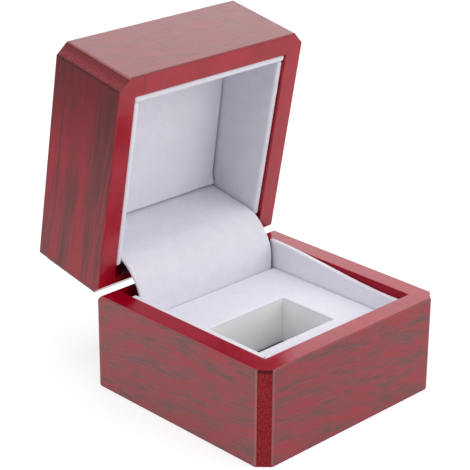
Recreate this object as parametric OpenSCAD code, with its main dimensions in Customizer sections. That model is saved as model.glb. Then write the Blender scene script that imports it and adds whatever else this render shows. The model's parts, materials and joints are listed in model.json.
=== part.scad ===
// Ring display box: a square wooden box in two halves on a spring hinge, lined in white
// flock, with a ring well in its deck. It stands open, as on a shop counter.
// Origin: centre of the underside of the base. +X right, +Y back, +Z up.

/* [Box] */
// Width of the box, left to right
box_w = 65; // [55:1:90]
// Depth of the box, front to back
box_d = 65; // [60:1:90]
// Height of the base, from the table to its rim
base_h = 27; // [25:0.5:40]
// Height of the lid, from its rim to its top
lid_h = 24.8; // [22:0.2:40]
// Angle by which the lid stands open
open_angle = 79.6; // [64:0.2:86]

/* [Carcass] */
// Thickness of the walls, foil included
wall_t = 5.8; // [5:0.1:8]
// Thickness of the bottom panel and of the top panel
panel_t = 2.3; // [1.8:0.1:3.5]
// Leg of the 45 degree chamfer on the upright corners
corner_chamfer = 3.2; // [1:0.1:4.5]
// Leg of the bevel that clears the back edges when the lid swings
back_bevel = 4.6; // [3.6:0.1:5]
// Radius of the rounded outer edges at rims, top and foot
edge_r = 0.5; // [0.3:0.05:0.8]
// Radius of the rounded inner edge of the rims
rim_inner_r = 0.3; // [0.15:0.05:0.6]
// Radius at which the foils turn into the chamfers
foil_edge_r = 1; // [0.5:0.1:1.2]
// Length of the returned ends of the side boards, inward from the inner corner
return_len = 2.5; // [1:0.1:5]
// Thickness of the wood-grain foil
foil_t = 0.3; // [0.2:0.05:0.5]
// Height of the foil's lower edge above the table
foil_foot = 0.5; // [0.3:0.1:1.5]
// Gap between the two rims when the box is shut
rim_gap = 0.2; // [0.1:0.05:0.5]

/* [Lining] */
// Thickness of the flocked card along the front and right of the base
lining_t = 1.5; // [1:0.1:2.5]
// Thickness of the flocked card along the left of the base
left_lining_t = 2.1; // [1:0.1:2.5]
// Thickness of the flocked card around the lid
lid_lining_t = 2; // [1:0.1:2.5]
// Depth of the lining's edge below the rim
lining_inset = 0.3; // [0.1:0.05:1]
// Drop of the right lining's edge, from the hinge side to the front
lining_slope_drop = 3.3; // [0:0.1:5]
// Distance of the linings' rear ends from the back face
lining_end = 9.4; // [8:0.1:11]
// Thickness of the ceiling pad at the hinge side
ceiling_back_t = 6.2; // [3:0.1:8]
// Thickness of the ceiling pad at the front
ceiling_front_t = 4; // [3:0.1:8]
// Radius of the ceiling pad's front and rear edges
ceiling_edge_r = 1; // [0.5:0.1:1.5]

/* [Deck and ring well] */
// Depth of the deck's surface below the rim
deck_drop = 7.1; // [5:0.1:9]
// Thickness of the deck board
deck_t = 1.8; // [1.2:0.1:3]
// Width of each riser under the deck, where the well leaves room for it
riser_w = 5; // [3:0.5:6]
// Width of the ring well
well_w = 28.6; // [20:0.2:32]
// Length of the ring well, front to back
well_l = 18.4; // [14:0.2:24]
// Offset of the well's centre to the right
well_x = -1.6; // [-3:0.1:3]
// Offset of the well's centre to the back
well_y = -4; // [-6:0.1:2]
// Thickness of the tray that lines the well
tray_t = 0.8; // [0.5:0.1:1.2]
// Thickness of the deck's lip over the tray's edge
tray_inset = 0.5; // [0.3:0.1:1]
// Height of the ring pad in the tray
pad_h = 4.4; // [3:0.1:9]
// Width of the slit that grips the ring
pad_slit = 0.3; // [0.1:0.1:1]
// Radius of the ring pad's upper edges
pad_edge_r = 0.8; // [0.4:0.1:1.2]
// Clearance around the deck, the tray and the pad
fit_gap = 0.1; // [0.05:0.05:0.3]

/* [Hinge] */
// Distance of the hinge axis from the back face
axis_inset = 3.2; // [2.8:0.1:3.6]
// Thickness of the leaf's steel
leaf_t = 0.6; // [0.4:0.05:0.8]
// Width of the leaves
leaf_w = 36; // [30:1:40]
// Distance from the tips of the lid leaf's ears to the lid's side linings
ear_gap = 0.7; // [0.3:0.1:4]
// Height of the sloping shoulder from the ear to the leaf
ear_rise = 2.9; // [1:0.1:4]
// Height of each leaf, from the hinge axis
leaf_h = 13; // [11:0.5:14]
// Radius of the leaf's far corners
leaf_corner_r = 1.4; // [0.5:0.1:2]
// Outer radius of the rolled knuckles
knuckle_r = 1.35; // [1.2:0.05:1.5]
// Number of knuckles
knuckles = 5; // [3:2:7]
// Distance from the ends of the row of knuckles to the leaf's edges
barrel_inset = 2.1; // [1:0.1:5]
// Gap between neighbouring knuckles
knuckle_gap = 0.2; // [0.1:0.05:0.4]
// Radius of the hinge pin
pin_r = 0.6; // [0.5:0.05:0.7]
// Running clearance of the pin in its knuckles
pin_gap = 0.05; // [0.03:0.01:0.08]
// Radius of the pin's riveted heads
pin_head_r = 0.95; // [0.8:0.05:1.1]
// Thickness of the pin's riveted heads
pin_head_t = 0.5; // [0.3:0.1:0.8]
// Clearance of the hinge in the boards
mortise_gap = 0.25; // [0.15:0.05:0.4]
// Radius of the screw shank
screw_r = 0.7; // [0.5:0.05:0.9]
// Radius of the countersunk screw head
screw_head_r = 1.3; // [1:0.05:1.6]
// Length of the screw from its head's face
screw_len = 4.4; // [3:0.2:5]
// Width of the driver slot in the screw's head
screw_slot_w = 0.35; // [0.2:0.05:0.5]
// Depth of the driver slot in the screw's head
screw_slot_t = 0.3; // [0.2:0.05:0.4]
// Distance of the screw row from the hinge axis
screw_row = 7.2; // [5:0.1:9]
// Distance between the screws of a row
screw_pitch = 9; // [7:0.5:11]
// Number of screws in each leaf
screws = 4; // [2:1:4]
// Width of each bow spring
spring_w = 5; // [3:0.5:6]
// Thickness of the spring strip
spring_t = 0.3; // [0.2:0.05:0.4]
// Distance of each spring's middle from the middle of the box
spring_x = 9; // [7:0.5:12]
// Distance of the spring's ends from the leaf's end
spring_end = 1.6; // [1.2:0.1:3]
// Distance of the spring's crown from the hinge axis
spring_rise = 4.2; // [3:0.1:4.6]

/* [Flap] */
// Thickness of the flocked flap
flap_t = 1; // [0.6:0.1:1.4]
// Distance of the flap's legs from the hinge axis
flap_leg = 8.1; // [7:0.1:9]
// Distance of the flap's taut middle from the hinge axis, at its face
flap_mid = 6.5; // [6:0.1:8]
// Radius of the flap's bends
flap_bend_r = 3.2; // [1.5:0.1:5]
// Depth by which the flap reaches past the deck and the ceiling
flap_tuck = 2.6; // [1:0.1:4]
// Clearance of the flap's ends and sides
flap_gap = 0.3; // [0.2:0.05:0.6]

/* [Hidden] */
$fn = 48;
// Overshoot of a cutting solid past the face that it cuts
over = 1;
// Turn of each screw's driver slot from that of the screw before it
slot_turn = 38;

// Outer faces and inner faces of the walls
out_x = box_w / 2;
out_y = box_d / 2;
in_x = out_x - wall_t;
in_y = out_y - wall_t;
joint_x = in_x - return_len;

// Hinge axis, half way between the two rims
hinge_y = out_y - axis_inset;
hinge_z = base_h + rim_gap / 2;
lid_rim = base_h + rim_gap;
lid_top = lid_rim + lid_h;

// Clear interior of the base and of the lid, between the linings
base_left_x = -in_x + left_lining_t;
base_right_x = in_x - lining_t;
base_front_y = -in_y + lining_t;
lid_in_x = in_x - lid_lining_t;
lid_front_y = -in_y + lid_lining_t;
lining_back_y = out_y - lining_end;
flap_y = hinge_y - flap_leg;
flap_x0 = max(base_left_x, -lid_in_x) + flap_gap;
flap_x1 = min(base_right_x, lid_in_x) - flap_gap;

// Deck and ring well
deck_z = base_h - deck_drop;
tray_floor_z = panel_t + tray_t;
tray_w = well_w + 2 * tray_t;
tray_l = well_l + 2 * tray_t;
tray_x0 = well_x - tray_w / 2;
tray_x1 = well_x + tray_w / 2;
pad_l = (well_l - pad_slit) / 2 - fit_gap;

// Hinge
ear_w = 2 * (lid_in_x - ear_gap);
spring_reach = leaf_h - spring_end;
barrel_l = leaf_w - 2 * barrel_inset;
knuckle_len = (barrel_l + knuckle_gap) / knuckles - knuckle_gap;
barrel_cut_l = barrel_l + 2 * (pin_head_t + mortise_gap + knuckle_gap);
bore_r = pin_r + pin_gap;

// ---------------------------------------------------------------- helpers

// Octagonal plan of the box, with its sides moved in by "inset" but its chamfers kept
function plan_points(inset) =
    let (x = out_x - inset, y = out_y - inset, c = corner_chamfer - inset)
    [[-x, -y + c], [-x + c, -y], [x - c, -y], [x, -y + c],
     [x, y - c], [x - c, y], [-x + c, y], [-x, y - c]];

// Extrudes a (y, z) outline along X, from x0 to x1
module along_x(x0, x1) {
    translate([x0, 0, 0]) rotate([90, 0, 90]) linear_extrude(x1 - x0) children();
}

// Extrudes an (x, z) outline towards -Y, from y1 down to y0
module along_y(y0, y1) {
    translate([0, y1, 0]) rotate([90, 0, 0]) linear_extrude(y1 - y0) children();
}

// A box from its lowest corner to its highest corner
module block(lo, hi) {
    translate(lo) cube(hi - lo);
}

// Mirrors what belongs to the base into the shut lid, about the plane between the rims
module to_lid() {
    translate([0, 0, 2 * hinge_z]) mirror([0, 0, 1]) children();
}

// Swings what is drawn in the shut lid to where the lid stands open
module swing() {
    translate([0, hinge_y, hinge_z]) rotate([-open_angle, 0, 0])
        translate([0, -hinge_y, -hinge_z]) children();
}

// Rotation of a (y, z) point about the hinge axis, as swing() does it
function swung(p) =
    let (a = -open_angle, y = p[0] - hinge_y, z = p[1] - hinge_z)
    [hinge_y + y * cos(a) - z * sin(a), hinge_z + y * sin(a) + z * cos(a)];

// Rounds an edge with the radius r all along the closed path pts, at the level z. The material
// lies to the left of the path, and below z if way is 1 or above z if way is -1
module round_edges(pts, r, z, way) {
    for (i = [0 : len(pts) - 1]) {
        a = pts[i];
        b = pts[(i + 1) % len(pts)];
        translate([a[0], a[1], z]) rotate([0, 0, atan2(b[1] - a[1], b[0] - a[0])])
            along_x(-over, norm(b - a) + over)
                mirror([0, way > 0 ? 1 : 0])
                    difference() {
                        translate([-over, -over]) square(r + over);
                        translate([r, r]) circle(r);
                    }
    }
}

// Rounded outer edge of the plan at the level z
module ease_cut(z, way) {
    round_edges(plan_points(0), edge_r, z, way);
}

// Outline of what is open above a rim whose inner edges are rounded, 2 * half apart
module flared_opening(half) {
    r = rim_inner_r;
    difference() {
        translate([-half - r, base_h - r]) square([2 * (half + r), r + over]);
        for (side = [-1, 1])
            translate([side * (half + r), base_h - r]) circle(r);
    }
}

// Rounded inner edge of the base's rim, mitred in its corners
module inner_ease_cut() {
    intersection() {
        along_x(-out_x, out_x) flared_opening(in_y);
        along_y(-out_y, out_y) flared_opening(in_x);
    }
}

// Wedge that bevels the back edge of the base's rim
module back_bevel_cut() {
    along_x(-out_x - over, out_x + over)
        polygon([[out_y - back_bevel - over, base_h + over], [out_y + over, base_h + over],
                 [out_y + over, base_h - back_bevel - over]]);
}

// ---------------------------------------------------------------- carcass

// Plan of the left side board, with its returned ends
module side_plan() {
    x = out_x - foil_t;
    y = out_y - foil_t;
    c = corner_chamfer - foil_t;
    polygon([[-x, -y + c], [-x + c, -y], [-joint_x, -y], [-joint_x, -in_y], [-in_x, -in_y],
             [-in_x, in_y], [-joint_x, in_y], [-joint_x, y], [-x + c, y], [-x, y - c]]);
}

// Plan of a foil along the front, mitred along the chamfers and rounded where it turns into
// them; half is half the width of the box along it, and face is the distance of its face
module foil_plan(half, face) {
    x = half - corner_chamfer;
    difference() {
        polygon([[-x, -face], [x, -face], [x + foil_t, -face + foil_t], [-x - foil_t, -face + foil_t]]);
        for (side = [-1, 1])
            foil_edge_cut([side * x, -face], side);
    }
}

// What lies outside the arc that rounds a foil's edge at p; side is 1 at the right end
module foil_edge_cut(p, side) {
    reach = foil_edge_r * tan(22.5);
    difference() {
        polygon([p + [0, -over], p + [-side * reach, -over], p + [-side * reach, 0],
                 p + [-side * reach, foil_edge_r],
                 p + reach / sqrt(2) * [side, 1], p + reach / sqrt(2) * [side, 1] + over * [side, -1]]);
        translate(p + [-side * reach, foil_edge_r]) circle(foil_edge_r);
    }
}

// Plan of the left foil
module side_foil_plan() {
    rotate(-90) foil_plan(out_y, out_x);
}

// Plan of the front foil
module front_foil_plan() {
    foil_plan(out_x, out_y);
}

// Trims a wall of the base: its rim is rounded and its back edge is bevelled
module trim_base() {
    difference() {
        children();
        ease_cut(base_h, 1);
        back_bevel_cut();
    }
}

// Trims a wall of the lid in the same way, with its upper edge rounded too
module trim_lid() {
    difference() {
        children();
        to_lid() ease_cut(base_h, 1);
        ease_cut(lid_top, 1);
        to_lid() back_bevel_cut();
    }
}

// A wall of the base, from the bottom panel to the rim
module base_wall() {
    trim_base() difference() {
        translate([0, 0, panel_t]) linear_extrude(base_h - panel_t) children();
        inner_ease_cut();
    }
}

// A wall of the lid, from the rim to the top panel
module lid_wall() {
    trim_lid() difference() {
        translate([0, 0, lid_rim]) linear_extrude(lid_h - panel_t) children();
        to_lid() inner_ease_cut();
    }
}

// A foil of the base
module base_foil() {
    trim_base() translate([0, 0, foil_foot]) linear_extrude(base_h - foil_foot) children();
}

// A foil of the lid, as high as the wall and the top panel
module lid_foil() {
    trim_lid() translate([0, 0, lid_rim]) linear_extrude(lid_h) children();
}

// Plan of the board between the side boards' ends, at the front
module front_plan() {
    translate([-joint_x, -out_y + foil_t]) square([2 * joint_x, wall_t - foil_t]);
}

module base_bottom_panel() {
    color([0.45, 0.09, 0.12])
    difference() {
        linear_extrude(panel_t) polygon(plan_points(foil_t));
        ease_cut(0, -1);
    }
}

module base_front_board() {
    color([0.62, 0.1, 0.16]) base_wall() front_plan();
}

module base_back_board() {
    color([0.62, 0.1, 0.16])
    difference() {
        base_wall() mirror([0, 1]) front_plan();
        hinge_mortise();
        screw_holes();
    }
}

module base_left_board() {
    color([0.55, 0.08, 0.13]) base_wall() side_plan();
}

module base_right_board() {
    color([0.55, 0.08, 0.13]) base_wall() mirror([1, 0]) side_plan();
}

module base_front_foil() {
    color([0.57, 0.31, 0.33]) base_foil() front_foil_plan();
}

module base_back_foil() {
    color([0.57, 0.31, 0.33]) base_foil() mirror([0, 1]) front_foil_plan();
}

module base_left_foil() {
    color([0.5, 0.28, 0.3]) base_foil() side_foil_plan();
}

module base_right_foil() {
    color([0.5, 0.28, 0.3]) base_foil() mirror([1, 0]) side_foil_plan();
}

module lid_top_panel() {
    color([0.45, 0.09, 0.12])
    swing() difference() {
        translate([0, 0, lid_top - panel_t]) linear_extrude(panel_t - foil_t) polygon(plan_points(foil_t));
        ease_cut(lid_top, 1);
    }
}

module lid_front_board() {
    color([0.62, 0.1, 0.16]) swing() lid_wall() front_plan();
}

module lid_back_board() {
    color([0.62, 0.1, 0.16])
    swing() difference() {
        lid_wall() mirror([0, 1]) front_plan();
        to_lid() hinge_mortise();
        to_lid() screw_holes();
    }
}

module lid_left_board() {
    color([0.55, 0.08, 0.13]) swing() lid_wall() side_plan();
}

module lid_right_board() {
    color([0.55, 0.08, 0.13]) swing() lid_wall() mirror([1, 0]) side_plan();
}

module lid_top_foil() {
    color([0.57, 0.31, 0.33])
    swing() difference() {
        translate([0, 0, lid_top - foil_t]) linear_extrude(foil_t) polygon(plan_points(foil_t));
        ease_cut(lid_top, 1);
    }
}

module lid_front_foil() {
    color([0.57, 0.31, 0.33]) swing() lid_foil() front_foil_plan();
}

module lid_back_foil() {
    color([0.57, 0.31, 0.33]) swing() lid_foil() mirror([0, 1]) front_foil_plan();
}

module lid_left_foil() {
    color([0.5, 0.28, 0.3]) swing() lid_foil() side_foil_plan();
}

module lid_right_foil() {
    color([0.5, 0.28, 0.3]) swing() lid_foil() mirror([1, 0]) side_foil_plan();
}

// ---------------------------------------------------------------- lining

flock = [0.88, 0.88, 0.92];

module base_left_lining() {
    color(flock)
    block([-in_x, base_front_y, panel_t], [base_left_x, lining_back_y, base_h - lining_inset]);
}

// The right lining's upper edge is flush at the hinge side and slopes down to the front
module base_right_lining() {
    color(flock)
    along_x(base_right_x, in_x)
        polygon([[base_front_y, panel_t], [lining_back_y, panel_t], [lining_back_y, base_h - lining_inset],
                 [in_y / 2, base_h - lining_inset],
                 [base_front_y, base_h - lining_inset - lining_slope_drop]]);
}

module base_front_lining() {
    color(flock)
    block([-in_x, -in_y, panel_t], [in_x, base_front_y, base_h - lining_inset - lining_slope_drop]);
}

module lid_left_lining() {
    color(flock)
    swing()
        block([-in_x, lid_front_y, lid_rim + lining_inset], [-lid_in_x, lining_back_y, lid_top - panel_t]);
}

module lid_right_lining() {
    color(flock)
    swing()
        block([lid_in_x, lid_front_y, lid_rim + lining_inset], [in_x, lining_back_y, lid_top - panel_t]);
}

module lid_front_lining() {
    color(flock)
    swing()
        block([-in_x, -in_y, lid_rim + lining_inset], [in_x, lid_front_y, lid_top - panel_t]);
}

// The ceiling pad is a wedge with rounded front and rear edges
module lid_ceiling_pad() {
    y0 = lid_front_y + fit_gap;
    y1 = flap_y - fit_gap;
    z1 = lid_top - panel_t;
    r = ceiling_edge_r;
    color(flock)
    swing() along_x(-lid_in_x + fit_gap, lid_in_x - fit_gap) union() {
        polygon([[y0, z1], [y0, z1 - ceiling_front_t + r], [y0 + r, z1 - ceiling_front_t],
                 [y1 - r, z1 - ceiling_back_t], [y1, z1 - ceiling_back_t + r], [y1, z1]]);
        translate([y0 + r, z1 - ceiling_front_t + r]) circle(r);
        translate([y1 - r, z1 - ceiling_back_t + r]) circle(r);
    }
}

// ---------------------------------------------------------------- deck and ring well

// The deck's lip lies on the tray's edge
module deck_board() {
    color(flock)
    difference() {
        block([base_left_x + fit_gap, base_front_y + fit_gap, deck_z - deck_t],
              [base_right_x - fit_gap, flap_y - fit_gap, deck_z]);
        block([well_x - well_w / 2, well_y - well_l / 2, deck_z - deck_t - over],
              [well_x + well_w / 2, well_y + well_l / 2, deck_z + over]);
        block([tray_x0 - fit_gap, well_y - tray_l / 2 - fit_gap, deck_z - deck_t - over],
              [tray_x1 + fit_gap, well_y + tray_l / 2 + fit_gap, deck_z - tray_inset]);
    }
}

// A strip along a side wall that carries the deck, from x0 to x1
module riser(x0, x1) {
    color([0.72, 0.62, 0.48])
    block([x0, base_front_y + fit_gap, panel_t], [x1, flap_y - fit_gap, deck_z - deck_t]);
}

module deck_riser_left() {
    x0 = base_left_x + fit_gap;
    riser(x0, min(x0 + riser_w, tray_x0 - fit_gap));
}

module deck_riser_right() {
    x1 = base_right_x - fit_gap;
    riser(max(x1 - riser_w, tray_x1 + fit_gap), x1);
}

module well_tray() {
    color([0.8, 0.81, 0.81])
    difference() {
        block([tray_x0, well_y - tray_l / 2, panel_t], [tray_x1, well_y + tray_l / 2, deck_z - tray_inset]);
        block([well_x - well_w / 2, well_y - well_l / 2, tray_floor_z],
              [well_x + well_w / 2, well_y + well_l / 2, deck_z + over]);
    }
}

// One half of the ring pad, from y0 to y1, with rounded upper edges
module ring_pad(y0, y1) {
    r = pad_edge_r;
    z1 = tray_floor_z + pad_h;
    color([0.08, 0.08, 0.09])
    along_x(well_x - well_w / 2 + fit_gap, well_x + well_w / 2 - fit_gap) union() {
        polygon([[y0, tray_floor_z], [y1, tray_floor_z], [y1, z1 - r], [y1 - r, z1],
                 [y0 + r, z1], [y0, z1 - r]]);
        translate([y0 + r, z1 - r]) circle(r);
        translate([y1 - r, z1 - r]) circle(r);
    }
}

module ring_pad_front() {
    ring_pad(well_y - well_l / 2 + fit_gap, well_y - pad_slit / 2);
}

module ring_pad_back() {
    ring_pad(well_y + pad_slit / 2, well_y + well_l / 2 - fit_gap);
}

// ---------------------------------------------------------------- hinge

steel = [0.72, 0.73, 0.75];

// Lowest end of the knuckle numbered i along X
function knuckle_x(i) = -barrel_l / 2 + i * (knuckle_len + knuckle_gap);

// Place along X of the screw numbered i
function screw_x(i) = (i - (screws - 1) / 2) * screw_pitch;

// Room for the hinge in the base's back board: a groove for the barrel and a seat for the leaf
module hinge_mortise() {
    half = barrel_l / 2 + mortise_gap;
    translate([-barrel_cut_l / 2, hinge_y, hinge_z]) rotate([0, 90, 0])
        cylinder(r = knuckle_r + mortise_gap, h = barrel_cut_l);
    block([-half, in_y - over, hinge_z - knuckle_r], [half, hinge_y, base_h + over]);
}

// Pilot holes for the screws of the base's leaf
module screw_holes() {
    for (i = [0 : screws - 1])
        translate([screw_x(i), in_y - over, hinge_z - screw_row]) rotate([-90, 0, 0])
            cylinder(r = screw_r + pin_gap, h = screw_len + over, $fn = 24);
}

// Rolled knuckles numbered first, first + 2, ..., each with the tongue that joins it to the leaf
module rolled_knuckles(first) {
    for (i = [first : 2 : knuckles - 1])
        along_x(knuckle_x(i), knuckle_x(i) + knuckle_len)
            difference() {
                union() {
                    translate([hinge_y, hinge_z]) circle(knuckle_r);
                    translate([in_y - leaf_t, hinge_z - knuckle_r]) square([hinge_y - in_y + leaf_t, leaf_t]);
                }
                translate([hinge_y, hinge_z]) circle(bore_r);
            }
}

// Outline of a leaf below its knuckles, with sloping ears of the given width at the top
module leaf_outline(ears) {
    z0 = hinge_z - leaf_h;
    z1 = hinge_z - knuckle_r + leaf_t;
    r = leaf_corner_r;
    polygon([[-ears / 2, z1], [-leaf_w / 2, z1 - ear_rise], [-leaf_w / 2, z0 + r], [-leaf_w / 2 + r, z0],
             [leaf_w / 2 - r, z0], [leaf_w / 2, z0 + r], [leaf_w / 2, z1 - ear_rise], [ears / 2, z1]]);
    for (side = [-1, 1])
        translate([side * (leaf_w / 2 - r), z0 + r]) circle(r);
}

// One leaf in the base's place: plate, knuckles, countersunk holes and slots for the springs
module leaf(first, ears) {
    color(steel)
    difference() {
        union() {
            along_y(in_y - leaf_t, in_y) leaf_outline(ears);
            rolled_knuckles(first);
        }
        for (i = [0 : screws - 1])
            translate([screw_x(i), 0, hinge_z - screw_row]) screw_shape(pin_gap);
        for (side = [-1, 1])
            block([side * spring_x - slot_w / 2, in_y - leaf_t - over, hinge_z - spring_reach - slot_half],
                  [side * spring_x + slot_w / 2, in_y + over,
                   hinge_z - spring_reach + slot_rise + slot_half]);
    }
}

module hinge_base_leaf() {
    leaf(0, leaf_w);
}

module hinge_lid_leaf() {
    swing() to_lid() leaf(1, ear_w);
}

// The pin, with a domed head at each end
module hinge_pin() {
    shoulder = (barrel_l + knuckle_gap) / 2;
    rim = shoulder + pin_head_t / 2;
    tip = shoulder + pin_head_t;
    flat_r = pin_head_r - pin_head_t / 2;
    color([0.6, 0.61, 0.63])
    translate([0, hinge_y, hinge_z]) rotate([0, 90, 0]) rotate_extrude()
        polygon([[0, -tip], [flat_r, -tip], [pin_head_r, -rim], [pin_head_r, -shoulder], [pin_r, -shoulder],
                 [pin_r, shoulder], [pin_head_r, shoulder], [pin_head_r, rim], [flat_r, tip], [0, tip]]);
}

// A countersunk screw along +Y with its head flush in a leaf, grown by a clearance
module screw_shape(gap) {
    r = screw_r + gap;
    head_r = screw_head_r + gap;
    translate([0, in_y - leaf_t, 0]) rotate([-90, 0, 0]) rotate_extrude($fn = 24)
        polygon([[0, 0], [head_r, 0], [r, leaf_t + gap], [r, screw_len - 2 * screw_r], [0, screw_len]]);
}

// The screws of the base's leaf, each with a driver slot turned a little further than the last
module screw_set() {
    color([0.75, 0.72, 0.6])
    for (i = [0 : screws - 1])
        translate([screw_x(i), 0, hinge_z - screw_row])
            difference() {
                screw_shape(0);
                rotate([0, slot_turn * i, 0])
                    block([-screw_head_r - over, in_y - leaf_t - over, -screw_slot_w / 2],
                          [screw_head_r + over, in_y - leaf_t + screw_slot_t, screw_slot_w / 2]);
            }
}

module base_hinge_screws() {
    screw_set();
}

module lid_hinge_screws() {
    swing() to_lid() screw_set();
}

// Centre of the circle through three points
function circle_centre(a, b, c) =
    let (d = 2 * (a[0] * (b[1] - c[1]) + b[0] * (c[1] - a[1]) + c[0] * (a[1] - b[1])),
         a2 = a * a, b2 = b * b, c2 = c * c)
    [(a2 * (b[1] - c[1]) + b2 * (c[1] - a[1]) + c2 * (a[1] - b[1])) / d,
     (a2 * (c[0] - b[0]) + b2 * (a[0] - c[0]) + c2 * (b[0] - a[0])) / d];

// Bow spring: an arc of strip from the base leaf's slot, over the barrel, to the lid leaf's slot
spring_foot = [in_y - leaf_t / 2, hinge_z - spring_reach];
spring_tip = swung([in_y - leaf_t / 2, hinge_z + spring_reach]);
inward = [-cos(open_angle / 2), sin(open_angle / 2)];
spring_crown = [hinge_y, hinge_z] + spring_rise * inward;
spring_centre = circle_centre(spring_foot, spring_crown, spring_tip);
spring_r = norm(spring_foot - spring_centre);

// Slots of the leaves, around the ends of the springs, as steep as the strip is there
slot_w = spring_w + 2 * fit_gap;
spring_rake = abs((spring_foot - spring_centre)[0] / (spring_foot - spring_centre)[1]);
slot_half = spring_t / 2 * norm([1, spring_rake]) + fit_gap;
slot_rise = spring_rake * leaf_t / 2;

module bow_spring(side) {
    color([0.68, 0.7, 0.74])
    along_x(side * spring_x - spring_w / 2, side * spring_x + spring_w / 2)
        intersection() {
            translate(spring_centre) difference() {
                circle(spring_r + spring_t / 2, $fn = 96);
                circle(spring_r - spring_t / 2, $fn = 96);
            }
            polygon([spring_centre, spring_centre + 2 * (spring_foot - spring_centre),
                     spring_centre + 4 * spring_r * inward,
                     spring_centre + 2 * (spring_tip - spring_centre)]);
        }
}

module hinge_spring_left() {
    bow_spring(-1);
}

module hinge_spring_right() {
    bow_spring(1);
}

// ---------------------------------------------------------------- flap

// Corners of the flap's face, from the foot behind the deck to the end behind the ceiling pad
flap_corner_z = (flap_mid - flap_leg * cos(open_angle / 2)) / sin(open_angle / 2);
flap_foot = [flap_y, deck_z - flap_tuck];
flap_corner = [flap_y, hinge_z + flap_corner_z];
flap_lid_corner = swung([flap_y, hinge_z - flap_corner_z]);
flap_end = swung([flap_y, lid_top - panel_t - ceiling_back_t + flap_tuck]);

// Points of the arc that rounds the corner b between a and c, for a strip's line at radius r
function bend(a, b, c, r, steps = 8) =
    let (u = (a - b) / norm(a - b), v = (c - b) / norm(c - b),
         half = acos(u * v) / 2, run = r / tan(half),
         centre = b + (u + v) / norm(u + v) * r / sin(half),
         p = b + u * run - centre, q = b + v * run - centre,
         turn = acos(p * q / (r * r)), sense = sign(p[0] * q[1] - p[1] * q[0]))
    [for (i = [0 : steps]) let (t = sense * turn * i / steps)
        centre + [p[0] * cos(t) - p[1] * sin(t), p[0] * sin(t) + p[1] * cos(t)]];

// Line of the flap's face, moved by d towards the hinge
function flap_line(d) =
    let (n0 = [1, 0], n1 = -inward, n2 = swung([hinge_y + 1, hinge_z]) - [hinge_y, hinge_z],
         m0 = (n0 + n1) / (1 + n0 * n1), m1 = (n1 + n2) / (1 + n1 * n2))
    concat([flap_foot + d * n0],
           bend(flap_foot + d * n0, flap_corner + d * m0, flap_lid_corner + d * m1, flap_bend_r - d),
           bend(flap_corner + d * m0, flap_lid_corner + d * m1, flap_end + d * n2, flap_bend_r - d),
           [flap_end + d * n2]);

function reversed(list) = [for (i = [len(list) - 1 : -1 : 0]) list[i]];

module hinge_flap() {
    color([0.9, 0.9, 0.94])
    along_x(flap_x0, flap_x1) polygon(concat(flap_line(0), reversed(flap_line(flap_t))));
}

base_bottom_panel();
base_front_board();
base_back_board();
base_left_board();
base_right_board();
base_front_foil();
base_back_foil();
base_left_foil();
base_right_foil();
base_left_lining();
base_right_lining();
base_front_lining();
deck_board();
deck_riser_left();
deck_riser_right();
well_tray();
ring_pad_front();
ring_pad_back();
hinge_base_leaf();
hinge_lid_leaf();
hinge_pin();
hinge_spring_left();
hinge_spring_right();
base_hinge_screws();
lid_hinge_screws();
hinge_flap();
lid_top_panel();
lid_front_board();
lid_back_board();
lid_left_board();
lid_right_board();
lid_top_foil();
lid_front_foil();
lid_back_foil();
lid_left_foil();
lid_right_foil();
lid_left_lining();
lid_right_lining();
lid_front_lining();
lid_ceiling_pad();
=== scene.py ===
import itertools
import json
import math

import bpy
from mathutils import Matrix, Vector, noise


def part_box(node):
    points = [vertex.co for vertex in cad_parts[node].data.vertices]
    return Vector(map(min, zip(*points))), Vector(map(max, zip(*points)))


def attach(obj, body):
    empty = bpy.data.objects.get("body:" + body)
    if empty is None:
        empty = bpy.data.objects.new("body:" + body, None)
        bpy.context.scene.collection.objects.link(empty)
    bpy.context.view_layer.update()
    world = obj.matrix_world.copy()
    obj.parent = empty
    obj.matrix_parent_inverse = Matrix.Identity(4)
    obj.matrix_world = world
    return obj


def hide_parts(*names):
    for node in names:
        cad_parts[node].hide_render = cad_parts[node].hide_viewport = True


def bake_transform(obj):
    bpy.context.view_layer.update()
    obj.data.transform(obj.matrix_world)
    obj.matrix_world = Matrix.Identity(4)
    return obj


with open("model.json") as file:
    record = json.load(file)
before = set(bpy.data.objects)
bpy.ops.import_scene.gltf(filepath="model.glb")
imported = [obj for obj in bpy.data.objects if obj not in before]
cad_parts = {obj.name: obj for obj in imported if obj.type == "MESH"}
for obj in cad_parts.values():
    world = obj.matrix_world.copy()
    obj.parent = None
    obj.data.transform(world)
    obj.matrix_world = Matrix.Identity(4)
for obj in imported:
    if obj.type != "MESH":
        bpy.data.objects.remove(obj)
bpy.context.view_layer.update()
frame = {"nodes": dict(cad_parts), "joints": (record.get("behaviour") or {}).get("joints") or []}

# Ring display box standing open. The CAD frame gives the wooden carcass, the tray and the
# hinge; the flocked linings, the pads, the flap and the springs are modelled here.
MM = 0.001

# Hinge axis and opening angle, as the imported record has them
joint = frame["joints"][0]
AXIS = Vector(joint["pos_m"])
OPEN = math.radians(joint["range_deg"][1])

# Plan of the box: half its side, and the leg of its corner chamfers
HALF = 32.5 * MM
CHAMFER = 3.2 * MM


# ---------------------------------------------------------------- places

def swing_matrix(angle):
    """Turn about the hinge axis."""
    return Matrix.Translation(AXIS) @ Matrix.Rotation(angle, 4, "X") @ Matrix.Translation(-AXIS)


SWING = swing_matrix(-OPEN)
UNSWING = swing_matrix(OPEN)


def shut_box(node):
    """Lowest and highest corner of a lid node, in the shut lid's place."""
    points = [UNSWING @ v.co for v in frame["nodes"][node].data.vertices]
    low = Vector([min(p[i] for p in points) for i in range(3)])
    high = Vector([max(p[i] for p in points) for i in range(3)])
    return low, high


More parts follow.
